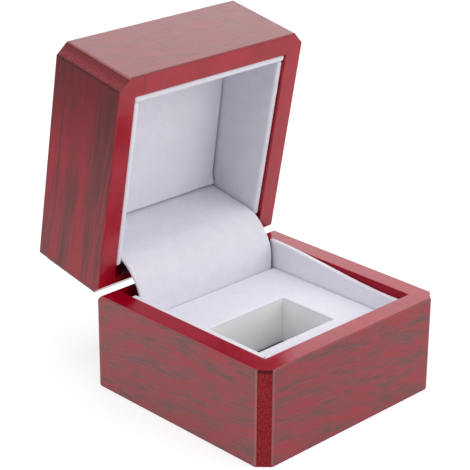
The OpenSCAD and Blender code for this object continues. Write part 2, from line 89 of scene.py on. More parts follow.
def smooth_step(value, start, end):
    """0 before start, 1 after end, and a smooth rise between them."""
    t = min(1.0, max(0.0, (value - start) / (end - start)))
    return t * t * (3 - 2 * t)


# ---------------------------------------------------------------- meshes

# Steps round each rounded edge or corner
EDGE_STEPS = 3

# Grain of the nap on flocked cloth, and its depth on cards, the ceiling pad and the flap
NAP_GRAIN = 0.5 * MM
CARD_NAP = 0.07 * MM
PAD_NAP = 0.08 * MM
FLAP_NAP = 0.05 * MM


def stations(low, high, radius, step):
    """Places of the grid lines along one side of a rounded block."""
    turns = [radius * math.tan(math.pi / 4 * k / EDGE_STEPS) for k in range(EDGE_STEPS, 0, -1)]
    start, end = low + radius, high - radius
    count = max(1, round((end - start) / step))
    middle = [start + (end - start) * k / count for k in range(count + 1)]
    return [start - t for t in turns] + middle + [end + t for t in reversed(turns)]


def rounded_block(low, high, radius, step):
    """Closed quad mesh of a block with rounded edges, as (core point, normal) pairs and faces.

    A surface point is its core point plus the normal times the radius. The step is the mesh's
    width along each axis."""
    lines = [stations(low[i], high[i], radius, step[i]) for i in range(3)]
    last = [len(line) - 1 for line in lines]
    index, points, faces = {}, [], []

    def corner(i, j, k):
        if (i, j, k) not in index:
            place = Vector((lines[0][i], lines[1][j], lines[2][k]))
            core = Vector([min(high[n] - radius, max(low[n] + radius, place[n])) for n in range(3)])
            index[i, j, k] = len(points)
            points.append((core, (place - core).normalized()))
        return index[i, j, k]

    for axis in range(3):
        u, v = (axis + 1) % 3, (axis + 2) % 3
        for side, a, b in itertools.product((0, last[axis]), range(last[u]), range(last[v])):
            ring = []
            for du, dv in ((0, 0), (1, 0), (1, 1), (0, 1)):
                key = [0, 0, 0]
                key[axis], key[u], key[v] = side, a + du, b + dv
                ring.append(corner(*key))
            faces.append(ring if side else ring[::-1])
    return points, faces


def nap(point, depth, grain):
    """Shallow unevenness of a flocked surface, from 0 down to -depth."""
    coarse = noise.noise(point / (grain * 5))
    fine = noise.noise(point / grain + Vector((7.3, 1.9, 4.1)))
    return -depth * (0.5 + 0.3 * coarse + 0.35 * fine)


def add_piece(name, points, faces, material, body, nodes):
    """A smooth mesh object that stands for some CAD nodes and rides on a body."""
    mesh = bpy.data.meshes.new(name)
    mesh.from_pydata([tuple(p) for p in points], [], faces)
    mesh.validate()
    for polygon in mesh.polygons:
        polygon.use_smooth = True
    mesh.materials.append(material)
    piece = bpy.data.objects.new(name, mesh)
    bpy.context.scene.collection.objects.link(piece)
    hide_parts(*nodes)
    if body:
        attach(piece, body)
    return piece


# ---------------------------------------------------------------- shader helpers

class Shader:
    """A material's node tree, built a node at a time. Lengths in its noises are in millimetres."""

    def __init__(self, name, **settings):
        self.material = bpy.data.materials.new(name)
        self.material.use_nodes = True
        self.tree = self.material.node_tree
        self.surface = self.tree.nodes["Principled BSDF"]
        for socket, value in settings.items():
            self.surface.inputs[socket.replace("_", " ")].default_value = value

    def node(self, kind, *inputs, **settings):
        """Adds a node; inputs go into its sockets in order, and None leaves a socket alone."""
        made = self.tree.nodes.new("ShaderNode" + kind)
        for key, value in settings.items():
            setattr(made, key, value)
        for socket, value in zip(made.inputs, inputs):
            self.put(socket, value)
        return made

    def put(self, socket, value):
        """Links or sets one socket."""
        if isinstance(value, bpy.types.NodeSocket):
            self.tree.links.new(value, socket)
        elif value is not None:
            socket.default_value = value

    def set(self, socket, value):
        """Links or sets a socket of the surface."""
        self.put(self.surface.inputs[socket], value)

    def math(self, operation, a, b=None, c=None):
        """One Math node's value."""
        return self.node("Math", a, b, c, operation=operation).outputs[0]

    def place(self, body="base"):
        """Place on the object in millimetres, in the shut box's frame."""
        source = self.node("TexCoord").outputs["Object"]
        matrix = UNSWING if body == "lid" else Matrix.Identity(4)
        mapping = self.node("Mapping", source)
        mapping.inputs["Location"].default_value = matrix.to_translation() / MM
        mapping.inputs["Rotation"].default_value = matrix.to_euler()
        mapping.inputs["Scale"].default_value = (1 / MM,) * 3
        return mapping.outputs[0]

    def stretch(self, place, periods, shift=(0, 0, 0)):
        """The shifted place, divided along each axis by the period that a noise there gets."""
        start = tuple(s / p for s, p in zip(shift, periods))
        scale = tuple(1 / p for p in periods)
        return self.node("Mapping", place, start, None, scale).outputs[0]

    def noise(self, place, detail=2.0, roughness=0.5):
        """Noise from 0 to 1 with a period of about one unit."""
        made = self.node("TexNoise", place)
        made.inputs["Scale"].default_value = 1.0
        made.inputs["Detail"].default_value = detail
        made.inputs["Roughness"].default_value = roughness
        return made.outputs["Fac"]

    def fit(self, value, low, high, to_low=0.0, to_high=1.0):
        """Smooth rise from to_low to to_high as the value goes from low to high."""
        made = self.node("MapRange", value, low, high, to_low, to_high)
        made.interpolation_type = "SMOOTHSTEP"
        return made.outputs[0]

    def mix(self, factor, a, b):
        """Colour a, or as much of colour b over it as the factor says."""
        made = self.node("Mix", data_type="RGBA")
        colours = [s for s in made.inputs if s.type == "RGBA"]
        self.put(made.inputs[0], factor)
        self.put(colours[0], a)
        self.put(colours[1], b)
        return [s for s in made.outputs if s.type == "RGBA"][0]

    def bump(self, height, depth, normal=None):
        """Bump of a height from 0 to 1, with its depth in millimetres."""
        made = self.node("Bump")
        made.inputs["Strength"].default_value = 1.0
        made.inputs["Distance"].default_value = depth * MM
        self.put(made.inputs["Height"], height)
        self.put(made.inputs["Normal"], normal)
        return made.outputs[0]


def rgb(red, green, blue):
    """Linear colour with alpha, from sRGB values of 0 to 255."""
    def linear(value):
        value /= 255
        return value / 12.92 if value <= 0.04045 else ((value + 0.055) / 1.055) ** 2.4
    return (linear(red), linear(green), linear(blue), 1.0)


# ---------------------------------------------------------------- materials

# Heights and places below are in millimetres: the base's rim, and the distances of the lid's
# open joint and of the walls' inner faces from the middle
RIM = 27.0
JOINT_X = 24.2
WALL_INSIDE = 26.7

# The chamfers' mask begins and ends this far inside their plane
CHAMFER_START, CHAMFER_END = 0.6, 0.45

# Depths below the rim over which the base's band of painted shadow fades in and out
SHADOW_BAND_START = (0.25, 0.45)
SHADOW_BAND_END = (0.95, 1.35)

# Distances from the open joint's middle over which its line fades out
JOINT_FADE = (0.1, 0.22)

# Half the width over which the lid's painted glints of the orange peel fade across a chamfer
GLINT_FADE = 1.8

# Lacquer of each half: its specular level, the two reds of the rims, the painted shadow of the band
# and the dark of the open joint, the ground of the sprayed chamfers and their specks painted lighter
# as glints, and the colour, share and reach of the wear and painted highlight on the upright edges
GLOSS = {"base": 0.15, "lid": 0.45}
LACQUER_DARK = {"base": rgb(140, 0, 24), "lid": rgb(148, 8, 28)}
LACQUER_RED = {"base": rgb(152, 2, 34), "lid": rgb(164, 12, 38)}
# Dark red of the lid's open joint, also used as the painted shadow of the band under the base's rim
LACQUER_JOINT_AND_SHADE = rgb(84, 0, 4)
LACQUER_CORNER = {"base": rgb(122, 4, 14), "lid": rgb(114, 0, 9)}
LACQUER_GLINT_SPECK = {"base": rgb(158, 38, 46), "lid": rgb(154, 54, 68)}
# Pale colour of the wear on the upright edges, also a painted highlight of their rounding
LACQUER_WORN_AND_LIT = rgb(205, 120, 120)
WEAR_AND_HIGHLIGHT = {"base": 0.25, "lid": 0.45}
WEAR_AND_HIGHLIGHT_REACH = {"base": (0.1, 0.4), "lid": (0.3, 0.55)}
JOINT_DARKNESS = 0.85


def plan_sides(shader, place):
    """Distances of the place from the middle along X and Y."""
    axes = shader.node("SeparateXYZ", place)
    return [shader.math("ABSOLUTE", axis) for axis in axes.outputs[:2]]


def wear_and_highlight_mask(shader, place, body):
    """1 on the box's upright edges, broken up, and 0 away from them: wear, which also carries a painted
    highlight.
    """
    x, y = plan_sides(shader, place)
    far, near = HALF / MM, (HALF - CHAMFER) / MM
    distances = []
    for edge_x, edge_y in ((near, far), (far, near)):
        dx = shader.math("SUBTRACT", x, edge_x)
        dy = shader.math("SUBTRACT", y, edge_y)
        square = shader.math("MULTIPLY_ADD", dx, dx, shader.math("MULTIPLY", dy, dy))
        distances.append(shader.math("SQRT", square))
    nearest = shader.math("MINIMUM", *distances)
    line = shader.fit(nearest, *WEAR_AND_HIGHLIGHT_REACH[body], 1.0, 0.0)
    breaks = shader.noise(shader.stretch(place, (1.3, 1.3, 2.5)), 3.0)
    return shader.math("MULTIPLY", line, shader.fit(breaks, 0.4, 0.6))


def chamfer_mask(shader, place):
    """1 on the corner chamfers."""
    plane = (2 * HALF - CHAMFER) / MM
    reach = shader.math("ADD", *plan_sides(shader, place))
    return shader.fit(reach, plane - CHAMFER_START, plane - CHAMFER_END)


def rim_shadow_band(shader, place):
    """1 in the band of painted shadow, without specks, just under the base's rim."""
    depth = shader.math("SUBTRACT", RIM, shader.node("SeparateXYZ", place).outputs[2])
    start = shader.fit(depth, *SHADOW_BAND_START)
    return shader.math("MULTIPLY", start, shader.fit(depth, *SHADOW_BAND_END, 1.0, 0.0))


def joint_mask(shader, place):
    """1 on the open hairline joint between the lid's front board and its left one."""
    x = shader.node("SeparateXYZ", place).outputs[0]
    offset = shader.math("ABSOLUTE", shader.math("ADD", x, JOINT_X))
    line = shader.fit(offset, *JOINT_FADE, 1.0, 0.0)
    y = plan_sides(shader, place)[1]
    return shader.math("MULTIPLY", line, shader.math("GREATER_THAN", y, WALL_INSIDE))


def glint_reach(shader, place, body):
    """How far the specks, painted lighter as glints of the orange peel, show on a chamfer. On the lid
    they fade out beside the front face.
    """
    if body == "base":
        return 1.0
    across = shader.math("SUBTRACT", *plan_sides(shader, place))
    return shader.fit(across, -GLINT_FADE, GLINT_FADE)


def lacquer(body):
    """Deep red glossy lacquer: smooth on the rims, with orange peel on the sprayed chamfers, whose
    specks are painted lighter as glints.
    """
    shader = Shader("lacquer_" + body, Specular_IOR_Level=GLOSS[body])
    place = shader.place(body)
    corner = chamfer_mask(shader, place)
    cloud = shader.noise(shader.stretch(place, (9, 9, 9)), 3.0)
    peel = shader.noise(shader.stretch(place, (0.34, 0.34, 0.4)), 1.5, 0.5)
    colour = shader.mix(shader.fit(cloud, 0.3, 0.7), LACQUER_DARK[body], LACQUER_RED[body])
    # Specks of the orange peel, painted lighter as glints
    specks = shader.math("MULTIPLY", shader.fit(peel, 0.36, 0.68), glint_reach(shader, place, body))
    sprayed = shader.mix(specks, LACQUER_CORNER[body], LACQUER_GLINT_SPECK[body])
    # On the base the chamfers are painted darker just under the rim, as the rim's shadow
    if body == "base":
        sprayed = shader.mix(rim_shadow_band(shader, place), sprayed, LACQUER_JOINT_AND_SHADE)
    colour = shader.mix(corner, colour, sprayed)
    # Pale wear on the upright edges, also standing for their painted highlight
    wear_and_highlight = shader.math("MULTIPLY", wear_and_highlight_mask(shader, place, body), WEAR_AND_HIGHLIGHT[body])
    colour = shader.mix(wear_and_highlight, colour, LACQUER_WORN_AND_LIT)
    if body == "lid":
        joint = shader.math("MULTIPLY", joint_mask(shader, place), JOINT_DARKNESS)
        colour = shader.mix(joint, colour, LACQUER_JOINT_AND_SHADE)
    shader.set("Base Color", colour)
    shader.set("Roughness", shader.fit(cloud, 0.3, 0.7, 0.16, 0.24))
    waves = shader.noise(shader.stretch(place, (3.5, 3.5, 3.5)), 1.0)
    dimples = shader.math("MULTIPLY", peel, corner)
    normal = shader.bump(dimples, 0.07)
    shader.set("Normal", shader.bump(waves, 0.05, normal))
    return shader.material


# The two ways in which the foil's print is cut.
# gloss: specular level
# wander: periods of the grain's wandering along and across it, and how far it goes
# streaks, patches, lines: their periods along and across the grain, in millimetres
# levels: noise levels at which a streak begins and is full, and its greatest share
# red: noise levels between which the print goes over into its red patches
# shade_end: place at which painted shade starts to darken the print towards the front edge, and how far
# it goes
# edge: colour and share of the line along a foil's upright edges, which is rubbed pale, or dark as a
#       painted shadow where a chamfer stands over it
# main, patch, streak, line: the print's colours
SHORT_GRAIN = {
    "gloss": 0.36,
    "wander": ((26, 12), 0.7),
    "streaks": (5.8, 0.56),
    "patches": (12, 3.2),
    "lines": (4.5, 0.3),
    "levels": (0.46, 0.68, 0.75),
    "red": (0.36, 0.7),
    "shade_end": (0.0, 0.0),
    "edge": (rgb(190, 130, 128), 0.3),
    "main": rgb(150, 73, 78),
    "patch": rgb(167, 58, 67),
    "streak": rgb(106, 76, 74),
    "line": rgb(94, 66, 64),
}
LONG_GRAIN = {
    "gloss": 0.3,
    "wander": ((34, 14), 0.6),
    "streaks": (17, 0.85),
    "patches": (44, 5.0),
    "lines": (16, 0.42),
    "levels": (0.45, 0.68, 0.57),
    "red": (0.34, 0.68),
    "shade_end": (0.0, 0.5),
    # Dark line along the upright edges: painted shadow under the chamfers
    "edge": (rgb(60, 8, 12), 0.8),
    "main": rgb(131, 54, 59),
    "patch": rgb(161, 42, 53),
    "streak": rgb(86, 47, 48),
    "line": rgb(90, 47, 48),
}

# The lid's front face, which is duller and has hardly any figure
LID_FRONT_GRAIN = {
    **SHORT_GRAIN,
    "gloss": 0.2,
    "levels": (0.46, 0.68, 0.15),
    "red": (0.2, 1.6),
    "main": rgb(120, 55, 59),
    "patch": rgb(156, 54, 62),
    "streak": rgb(98, 71, 69),
    "line": rgb(108, 57, 59),
}

# The base's front face, whose print is painted a little darker as shade, and its lacquer duller
BASE_FRONT_SHADED_GRAIN = {
    **SHORT_GRAIN,
    "gloss": 0.22,
    "main": rgb(135, 66, 70),
    "patch": rgb(152, 54, 62),
    "streak": rgb(96, 70, 68),
    "line": rgb(86, 61, 59),
}

# Colour of the painted shade to which the long grain darkens towards the front edge
FOIL_SHADE = rgb(74, 14, 18)

# Greatest share of the fine lines, and how much fainter streaks are in the red patches
LINE_SHARE = 0.45
PATCH_LEAN = 0.6

# Distance of the foils' upright edges from the middle, and the two distances before an edge at
# which its line starts and is full
FOIL_END = (HALF - CHAMFER) / MM
FOIL_LINE = (0.4, 0.1)


def foil_edge_mask(shader, place):
    """1 on a narrow line along the foils' upright edges."""
    nearest = shader.math("MINIMUM", *plan_sides(shader, place))
    start, full = FOIL_LINE
    return shader.fit(nearest, FOIL_END - start, FOIL_END - full)


def wander(shader, flat, seed, periods, depth):
    """The place on a foil, moved across the grain by a slow noise so that the grain wanders."""
    slow = shader.stretch(flat, (*periods, 1), shift=(3.0 * seed, 7.0 * seed, 0))
    bend = shader.fit(shader.noise(slow, 1.5), 0.2, 0.8, -depth, depth)
    offset = shader.node("CombineXYZ", 0.0, bend, 0.0).outputs[0]
    return shader.node("VectorMath", flat, offset, operation="ADD").outputs[0]


def printed_foil(body, along, across, slant, seed, cut):
    """Rosewood-print foil under satin lacquer. The grain runs along one axis, slanted a little."""
    shader = Shader("foil_%s_%d" % (body, seed), Specular_IOR_Level=cut["gloss"])
    place = shader.place(body)
    axes = shader.node("SeparateXYZ", place)
    u, v = axes.outputs["XYZ".index(along)], axes.outputs["XYZ".index(across)]
    flat = shader.node("CombineXYZ", u, v, 0.0).outputs[0]
    flat = shader.node("Mapping", flat, None, (0, 0, math.radians(slant))).outputs[0]
    wavy = wander(shader, flat, seed, *cut["wander"])

    def layer(key, detail, shift):
        spot = (shift + 17.0 * seed, shift - 9.0 * seed, 0)
        return shader.noise(shader.stretch(wavy, (*cut[key], 1), shift=spot), detail)

    streaks = layer("streaks", 3.0, 2.0)
    patches = layer("patches", 2.0, 31.0)
    lines = layer("lines", 2.0, 64.0)
    colour = shader.mix(shader.fit(patches, *cut["red"]), cut["main"], cut["patch"])
    lean = shader.math("MULTIPLY_ADD", patches, -PATCH_LEAN, PATCH_LEAN / 2)
    weight = shader.math("ADD", streaks, lean)
    low, high, share = cut["levels"]
    colour = shader.mix(shader.fit(weight, low, high, 0.0, share), colour, cut["streak"])
    colour = shader.mix(shader.fit(lines, 0.48, 0.75, 0.0, LINE_SHARE), colour, cut["line"])
    # Painted shade: darker towards the front edge, which is the top of the open lid
    start, share = cut["shade_end"]
    if share:
        painted_shade = shader.fit(axes.outputs[1], -FOIL_END, start, share, 0.0)
        colour = shader.mix(painted_shade, colour, FOIL_SHADE)
    # Line along the upright edges: rubbed pale on the short grain, painted shadow on the long grain
    edge_pale_or_shadow_colour, share = cut["edge"]
    edge = shader.math("MULTIPLY", foil_edge_mask(shader, place), share)
    colour = shader.mix(edge, colour, edge_pale_or_shadow_colour)
    shader.set("Base Color", colour)
    shader.set("Roughness", shader.fit(streaks, 0.3, 0.7, 0.28, 0.38))
    waves = shader.noise(shader.stretch(place, (2.2, 2.2, 2.2)), 1.0)
    normal = shader.bump(streaks, 0.01)
    shader.set("Normal", shader.bump(waves, 0.03, normal))
    return shader.material


def flock(name, tints, depth):
    """Short upright nap: fine bump, soft sheen, and a faint patchiness where the nap lies over."""
    shader = Shader(name, Roughness=0.95, Specular_IOR_Level=0.15, Sheen_Weight=0.25,
                    Sheen_Roughness=0.45, Sheen_Tint=rgb(238, 238, 250))
    place = shader.place()
    fibres = shader.noise(shader.stretch(place, (0.3, 0.3, 0.45)), 3.0, 0.65)
    lay = shader.noise(shader.stretch(place, (4, 4, 4)), 3.0)
    colour = shader.mix(shader.fit(lay, 0.35, 0.65), tints[0], tints[1])
    colour = shader.mix(shader.fit(fibres, 0.45, 0.72, 0.0, 0.45), colour, tints[2])
    shader.set("Base Color", colour)
    clumps = shader.noise(shader.stretch(place, (0.7, 0.7, 0.7)), 2.0)
    normal = shader.bump(fibres, depth)
    shader.set("Normal", shader.bump(clumps, depth, normal))
    return shader.material


def smooth_card():
    """White card of the ring tray, with faint fibres and a satin face."""
    shader = Shader("tray_card", Specular_IOR_Level=0.9)
    place = shader.place()
    fibres = shader.noise(shader.stretch(place, (0.3, 0.3, 1.6)), 3.0)
    cloud = shader.noise(shader.stretch(place, (6, 6, 6)), 2.0)
    colour = shader.mix(shader.fit(cloud, 0.3, 0.7), rgb(251, 252, 253), rgb(253, 254, 254))
    colour = shader.mix(shader.fit(fibres, 0.5, 0.8, 0.0, 0.3), colour, rgb(236, 238, 240))
    shader.set("Base Color", colour)
    shader.set("Roughness", shader.fit(fibres, 0.3, 0.7, 0.36, 0.46))
    shader.set("Normal", shader.bump(fibres, 0.02))
    return shader.material


def foam():
    """Black closed-cell foam of the ring pads, with fine pores."""
    shader = Shader("pad_foam", Roughness=0.85, Sheen_Weight=0.2)
    place = shader.place()
    pores = shader.node("TexVoronoi", shader.stretch(place, (0.35, 0.35, 0.35)))
    pores.inputs["Scale"].default_value = 1.0
    cloud = shader.noise(shader.stretch(place, (2, 2, 2)), 3.0)
    colour = shader.mix(shader.fit(cloud, 0.3, 0.7), rgb(24, 24, 27), rgb(38, 38, 42))
    shader.set("Base Color", colour)
    shader.set("Normal", shader.bump(pores.outputs["Distance"], 0.08))
    return shader.material


def chipboard():
    """Pale fibreboard of the deck's risers."""
    shader = Shader("riser_board")
    place = shader.place()
    chips = shader.noise(shader.stretch(place, (0.8, 2.2, 0.5)), 4.0, 0.6)
    colour = shader.mix(shader.fit(chips, 0.35, 0.65), rgb(168, 140, 104), rgb(206, 182, 146))
    shader.set("Base Color", colour)
    shader.set("Roughness", shader.fit(chips, 0.3, 0.7, 0.7, 0.9))
    shader.set("Normal", shader.bump(chips, 0.06))
    return shader.material


def steel(name, tint, stain, rough, periods):
    """Rolled or drawn metal, with fine lines along its length and a faint stain."""
    shader = Shader(name, Metallic=1.0)
    place = shader.place()
    lines = shader.noise(shader.stretch(place, periods), 3.0, 0.6)
    cloud = shader.noise(shader.stretch(place, (3, 3, 3)), 3.0)
    colour = shader.mix(shader.fit(cloud, 0.4, 0.75), tint, stain)
    shader.set("Base Color", shader.mix(shader.fit(lines, 0.5, 0.8, 0.0, 0.3), colour, stain))
    shader.set("Roughness", shader.fit(lines, 0.3, 0.7, rough * 0.8, rough * 1.3))
    shader.set("Normal", shader.bump(lines, 0.01))
    return shader.material


# Tints of the flock: two for its patches and one for the shade between its fibres. The flap and
# the lid's right lining get darker tints, as painted shade
FLOCK_TINTS = (rgb(226, 225, 234), rgb(229, 228, 237), rgb(212, 211, 221))
SHADED_TINTS = (rgb(220, 219, 228), rgb(224, 223, 232), rgb(208, 207, 217))

# Materials of the pieces made below. Those of the CAD nodes follow in the next section
FLOCK_CARD = flock("flock_card", FLOCK_TINTS, 0.06)
FLOCK_SHADED_SIDE = flock("flock_shaded_side", SHADED_TINTS, 0.06)
FLOCK_PAD = flock("flock_pad", FLOCK_TINTS, 0.08)
# The flap's flock, painted darker as shade
FLAP_CLOTH = flock("flap_cloth", SHADED_TINTS, 0.05)
FOAM = foam()
SPRING_STEEL = steel("spring_steel", rgb(196, 202, 212), rgb(150, 156, 168), 0.22, (0.12, 2.5, 2.5))


# ---------------------------------------------------------------- carried-over CAD nodes

# Foils: half of the box, side, axes along and across the grain, slant of the grain in degrees
# and cut. A foil's number in this list is the seed of its print
FOILS = (
    ("base", "left", "Y", "Z", 6, SHORT_GRAIN),
    ("base", "front", "X", "Z", 6, BASE_FRONT_SHADED_GRAIN),
    ("base", "right", "Y", "Z", -5, SHORT_GRAIN),
    ("base", "back", "X", "Z", 4, SHORT_GRAIN),
    ("lid", "left", "Y", "Z", -3, LONG_GRAIN),
    ("lid", "front", "X", "Z", 3, LID_FRONT_GRAIN),
    ("lid", "right", "Y", "Z", 2, LONG_GRAIN),
    ("lid", "back", "X", "Z", -4, SHORT_GRAIN),
    ("lid", "top", "X", "Y", 2, LONG_GRAIN),
)


def dress(material, *names):
    """Gives CAD nodes a material."""
    for name in names:
        mesh = frame["nodes"][name].data
        mesh.materials.clear()
        mesh.materials.append(material)


def dress_carcass():
    """Lacquer on the boards and panels, printed foil on the flat faces."""
    walls = ("front_board", "back_board", "left_board", "right_board")
    dress(lacquer("base"), "base_bottom_panel", *("base_" + w for w in walls))
    dress(lacquer("lid"), "lid_top_panel", *("lid_" + w for w in walls))
    for seed, (body, side, along, across, slant, cut) in enumerate(FOILS, 1):
        foil = printed_foil(body, along, across, slant, seed, cut)
        dress(foil, "%s_%s_foil" % (body, side))


def dress_inside():
    """The tray, the risers and the hinge's rigid parts."""
    dress(smooth_card(), "well_tray")
    dress(chipboard(), "deck_riser_left", "deck_riser_right")
    plate = steel("hinge_steel", rgb(214, 215, 218), rgb(176, 176, 178), 0.26, (2.5, 0.12, 0.12))
    dress(plate, "hinge_base_leaf", "hinge_lid_leaf", "hinge_pin")
    screws = steel("screw_steel", rgb(222, 212, 186), rgb(170, 158, 128), 0.3, (0.3, 0.3, 0.3))
    dress(screws, "base_hinge_screws", "lid_hinge_screws")


# ---------------------------------------------------------------- linings

# Width of the linings' mesh, and the radii of their edges in each half and at the base's left
CARD_STEP = 0.8 * MM
BASE_CARD_EDGE = 0.5 * MM
BASE_LEFT_EDGE = 0.6 * MM
LID_CARD_EDGE = 0.8 * MM


def flocked_card(name, node, body, radius, shape=None, material=FLOCK_CARD):
    """A flocked card lining in the place of its CAD node, with soft napped edges."""
    low, high = shut_box(node) if body == "lid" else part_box(node)
    points, faces = rounded_block(low, high, radius, (CARD_STEP,) * 3)
    place = SWING if body == "lid" else Matrix.Identity(4)
    surface = []
    for core, normal in points:
        point = core + normal * (radius + nap(core, CARD_NAP, NAP_GRAIN))
        surface.append(place @ (shape(point, low, high) if shape else point))
    return add_piece(name, surface, faces, material, body, [node])


# Height by which the right lining's upper edge stands proud at the hinge side, its drop from
# there to the front, and the places along Y between which it drops
EDGE_RISE = 1.2 * MM
SLOPE_DROP = 3.1 * MM
SLOPE_START, SLOPE_END = -22 * MM, 24 * MM


def sloping_edge(point, low, high):
    """Lowers the upper edge of the base's right lining towards the front."""
    lift = EDGE_RISE - SLOPE_DROP * (1 - smooth_step(point.y, SLOPE_START, SLOPE_END))
    share = (point.z - low.z) / (high.z - low.z)
    return Vector((point.x, point.y, point.z + lift * share))


# Depth by which the lid's right lining stands back from the rim
SET_BACK = 0.4 * MM


def set_back_edge(point, low, high):
    """Draws the edge of the lid's right lining back into the lid."""
    share = (high.z - point.z) / (high.z - low.z)
    return Vector((point.x, point.y, point.z + SET_BACK * share))


def add_linings():
    """The flocked cards around the base and the lid."""
    flocked_card("base_left_flock", "base_left_lining", "base", BASE_LEFT_EDGE)
    flocked_card("base_right_flock", "base_right_lining", "base", BASE_CARD_EDGE, sloping_edge)
    flocked_card("base_front_flock", "base_front_lining", "base", BASE_CARD_EDGE)
    flocked_card("lid_left_flock", "lid_left_lining", "lid", LID_CARD_EDGE)
    flocked_card("lid_right_flock", "lid_right_lining", "lid", LID_CARD_EDGE, set_back_edge, FLOCK_SHADED_SIDE)
    flocked_card("lid_front_flock", "lid_front_lining", "lid", LID_CARD_EDGE)


# ---------------------------------------------------------------- deck

# Radii of the deck's outer edge, of the rolled edge round the well, and of the corners in plan
DECK_EDGE = 0.4 * MM
WELL_EDGE = 0.7 * MM
WELL_CORNER = 1.2 * MM

# Thickness of the tray's card, the deck's gaps beside it and above it, and how far above and
# below the tray's edge the deck is left without nap
TRAY_T = 0.8 * MM
TRAY_GAP = 0.1 * MM
TRAY_LIFT = 0.02 * MM
TRAY_MARGIN = 0.1 * MM

# Mesh of the deck: points along its long and short sides, spans from the well to the rim, and
# steps of the well's rolled edge
DECK_COUNTS = (40, 30)
DECK_SPANS = 16
WELL_STEPS = 5


def outline(low, high, corner, counts):
    """Points of a rectangle with rounded corners, as (point, outward direction) pairs."""
    ring = []
    left, right = low.x + corner, high.x - corner
    front, back = low.y + corner, high.y - corner
    centres = [(right, back), (left, back), (left, front), (right, front)]
    for quarter, (x, y) in enumerate(centres):
        for k in range(EDGE_STEPS + 1):
            angle = math.pi / 2 * (quarter + k / EDGE_STEPS)
            out = Vector((math.cos(angle), math.sin(angle), 0))
            ring.append((Vector((x, y, 0)) + out * corner, out))
        start, out = ring[-1]
        next_x, next_y = centres[(quarter + 1) % 4]
        end = Vector((next_x, next_y, 0)) + out * corner
        count = counts[quarter % 2]
        ring += [(start.lerp(end, n / count), out) for n in range(1, count)]
    return ring


def quarter_turn(steps):
    """Sine and cosine pairs of a quarter turn."""
    angles = [math.pi / 2 * k / steps for k in range(steps + 1)]
    return [(math.sin(angle), math.cos(angle)) for angle in angles]


def deck_profiles(top, bottom, under):
    """Sections of the deck at its well and at its rim, as (distance into the deck, height) pairs.

    At the well the cloth goes up beside the tray, in over its edge at the height under, and
    rolls over to the top."""
    over = TRAY_T + TRAY_GAP
    well = [(0.0, bottom), (0.0, under - TRAY_MARGIN), (0.0, under)]
    well += [(-over / 2, under), (-over, under)]
    for s, c in quarter_turn(WELL_STEPS):
        well.append((WELL_EDGE * (1 - c) - over, top - (top - under) * (1 - s)))
    rim = []
    for s, c in reversed(quarter_turn(EDGE_STEPS)):
        rim.append((DECK_EDGE * (1 - c), top - DECK_EDGE * (1 - s)))
    return well, rim + [(0.0, bottom)]


def add_deck():
    """The flocked deck board, with soft edges around its well."""
    low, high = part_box("deck_board")
    tray_low, tray_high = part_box("well_tray")
    gap = Vector((TRAY_GAP, TRAY_GAP, 0))
    hole = outline(tray_low - gap, tray_high + gap, WELL_CORNER, DECK_COUNTS)
    rim = outline(low, high, WELL_CORNER, DECK_COUNTS)
    under = tray_high.z + TRAY_LIFT
    inner, outer = deck_profiles(high.z, low.z, under)
    points = []
    for (hole_point, hole_out), (rim_point, rim_out) in zip(hole, rim):
        column = [hole_point + hole_out * d + Vector((0, 0, z)) for d, z in inner]
        edge = [rim_point - rim_out * d + Vector((0, 0, z)) for d, z in outer]
        shares = [k / DECK_SPANS for k in range(1, DECK_SPANS)]
        column += [column[-1].lerp(edge[0], share) for share in shares] + edge
        points.append(column)
    around, along = len(points), len(points[0])
    faces = []
    for i, j in itertools.product(range(around), range(along)):
        ring = [(i, j), (i + 1, j), (i + 1, j + 1), (i, j + 1)]
        faces.append([(a % around) * along + b % along for a, b in ring])
    surface = []
    for point in itertools.chain(*points):
        napped = point.z > under + TRAY_MARGIN
        sink = nap(point, CARD_NAP, NAP_GRAIN) if napped else 0.0
        surface.append(point + Vector((0, 0, sink)))
    return add_piece("deck_flock", surface, faces, FLOCK_CARD, "base", ["deck_board"])


# ---------------------------------------------------------------- pads

# Thickness of the ceiling pad at its front, the radius of its edges and its mesh's width
CEILING_FRONT = 4.0 * MM
CEILING_EDGE = 0.5 * MM
CEILING_STEP = 0.9 * MM

# How much the pad's long edges fall away to its sides, over what width, and how far from the
# hinge this ends
SHOULDER_DROP = 0.6 * MM
SHOULDER_REACH = 7.0 * MM
SHOULDER_END = 3.0 * MM

# The cloth simulation of the ceiling pad's cover: it runs ten times life size, where the solver
# is steady, and its swelling is scaled so that no point moves more than the limit. The pad
# starts thinner by a part of the limit, and its glued back is held
CLOTH_SCALE = 10.0
CLOTH_FRAMES = 20
CLOTH_PRESSURE = 4.0
SWELL_LIMIT = 0.9 * MM
SWELL_ROOM = 0.7 * SWELL_LIMIT
HELD_DEPTH = 0.3 * MM


